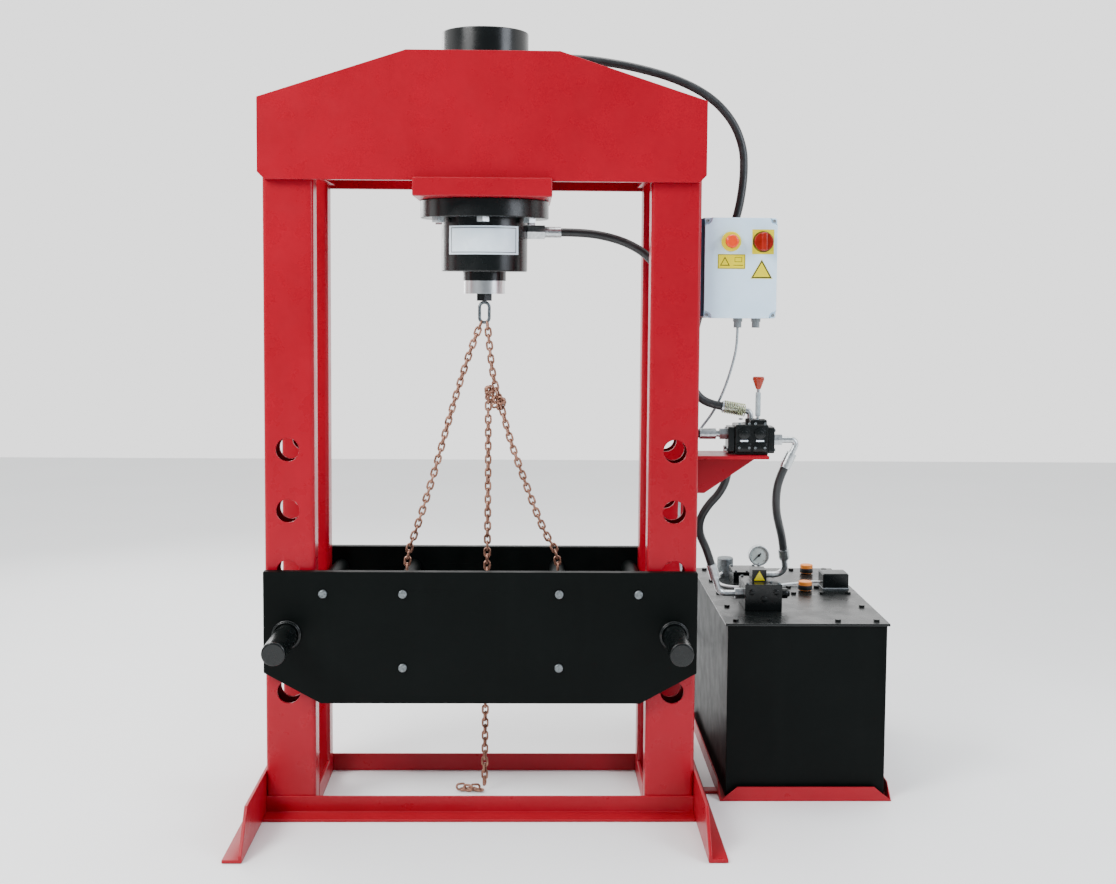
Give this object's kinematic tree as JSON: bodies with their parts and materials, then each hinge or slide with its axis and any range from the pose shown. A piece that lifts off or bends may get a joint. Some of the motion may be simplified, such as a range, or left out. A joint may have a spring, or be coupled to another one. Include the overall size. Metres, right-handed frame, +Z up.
{
  "type": "hydraulic shop press",
  "caption": "H-frame workshop press with a double-acting ram, a bed hung on two pins, a hand valve, a control box and a separate hydraulic power unit on a tray.",
  "frame": {"origin": "on the floor, on the ram's axis, midway between the columns", "axes": "+Z up along the ram's axis, +X from the left column towards the control box and the power unit, the operator stands at -Y"},
  "size_m": [1.991, 1.4525, 2.375],
  "materials": {
    "frame_red": "gloss",
    "black_paint": "semi-gloss",
    "zinc_steel": "satin",
    "chromed_rod": "polished",
    "chain_steel": "oiled",
    "hose_rubber": "matte",
    "cable_grey": "matte",
    "cable_white": "matte",
    "box_dark": "satin",
    "box_paint": "powder coat",
    "control_yellow": "gloss",
    "control_red": "gloss",
    "cap_orange": "satin",
    "needle_black": "matte"
  },
  "bodies": {
    "frame": {"base_angles": "frame_red", "bed_bolts": "zinc_steel", "bed_front_plate": "black_paint", "bed_rear_plate": "black_paint", "bed_tie_tubes": "black_paint", "box_body": "box_paint", "box_bracket": "box_dark", "box_cover": "box_paint", "box_glands": "cable_grey", "box_labels": "control_yellow", "cap_hose": "hose_rubber", "chain_legs": "chain_steel", "chain_tail": "chain_steel", "control_cable": "cable_grey", "crosshead_front_plate": "frame_red", "crosshead_rear_plate": "frame_red", "crosshead_ribs": "frame_red", "cylinder_barrel": "black_paint", "cylinder_flange": "black_paint", "cylinder_gland": "black_paint", "cylinder_mount_plate": "frame_red", "estop_collar": "control_yellow", "flange_bolts": "zinc_steel", "foot_rails": "frame_red", "front_columns": "frame_red", "gauge_case": "zinc_steel", "hose_spring_guard": "zinc_steel", "hydraulic_fittings": "zinc_steel", "lid_bolts": "black_paint", "lid_cable": "cable_white", "manifold_block": "black_paint", "motor_pump_unit": "black_paint", "pressure_hose": "hose_rubber", "rating_plate": "cable_white", "rear_columns": "frame_red", "return_filter": "zinc_steel", "return_hose": "hose_rubber", "rod_hose": "hose_rubber", "tank_lid": "black_paint", "tank_shell": "black_paint", "tank_tray": "frame_red", "terminal_box": "black_paint", "valve_body": "black_paint", "valve_bracket": "frame_red"},
    "ram": {"ram_rod": "chromed_rod", "ram_piston": "chromed_rod", "eye_bolt": "black_paint", "chain_shackle": "zinc_steel"},
    "left_pin": {"bed_pin_left": "black_paint"},
    "right_pin": {"bed_pin_right": "black_paint"},
    "lever": {"valve_lever": "zinc_steel", "lever_knob": "control_red"},
    "spool": {"valve_spool": "zinc_steel"},
    "stop_button": {"estop_button": "control_red"},
    "switch": {"switch_handle": "control_red"},
    "needle": {"gauge_needle": "needle_black"},
    "filler": {"filler_cap": "cap_orange"},
    "breather": {"breather_cap": "cap_orange"},
    "rotor": {"motor_rotor": "zinc_steel"},
    "idler": {"pump_gear": "zinc_steel"}
  },
  "joints": [
    {"name": "ram_slide", "type": "slide", "parent": "frame", "child": "ram", "axis": [0, 0, -1], "range_m": [0, 0.3], "deforming": ["chain_legs", "chain_tail"]},
    {"name": "left_pin_slide", "type": "slide", "parent": "frame", "child": "left_pin", "axis": [0, -1, 0], "range_m": [0, 0.48]},
    {"name": "right_pin_slide", "type": "slide", "parent": "frame", "child": "right_pin", "axis": [0, -1, 0], "range_m": [0, 0.48]},
    {"name": "valve_lever", "type": "hinge", "parent": "frame", "child": "lever", "pos_m": [0.848, -0.06, 1.172], "axis": [0, 1, 0], "range_deg": [-15, 15]},
    {"name": "spool_slide", "type": "slide", "parent": "frame", "child": "spool", "axis": [1, 0, 0], "range_m": [-0.008, 0.008]},
    {"name": "stop_button_press", "type": "slide", "parent": "frame", "child": "stop_button", "axis": [0, 1, 0], "range_m": [0, 0.005]},
    {"name": "main_switch", "type": "hinge", "parent": "frame", "child": "switch", "pos_m": [0.843, -0.13, 1.743], "axis": [0, -1, 0], "range_deg": [0, 90]},
    {"name": "gauge_needle", "type": "hinge", "parent": "frame", "child": "needle", "pos_m": [0.935, 0.4, 0.685], "axis": [0, 1, 0], "range_deg": [0, 270]},
    {"name": "filler_cap_turn", "type": "hinge", "parent": "frame", "child": "filler", "pos_m": [1.098, 0.4, 0.561], "axis": [0, 0, 1], "range_deg": [0, 90]},
    {"name": "breather_cap_turn", "type": "hinge", "parent": "frame", "child": "breather", "pos_m": [1.16, 0.69, 0.561], "axis": [0, 0, 1], "range_deg": [0, 90]},
    {"name": "motor_spin", "type": "hinge", "parent": "frame", "child": "rotor", "pos_m": [1.015, 0.16, 0.3], "axis": [0, 0, 1], "continuous": true},
    {"name": "pump_gear_spin", "type": "hinge", "parent": "frame", "child": "idler", "pos_m": [1.015, 0.22, 0.25], "axis": [0, 0, 1], "continuous": true}
  ],
  "couplings": [
    {"joint": "spool_slide", "follows": "valve_lever", "m_per_rad": -0.03},
    {"joint": "pump_gear_spin", "follows": "motor_spin", "ratio": -1}
  ]
}
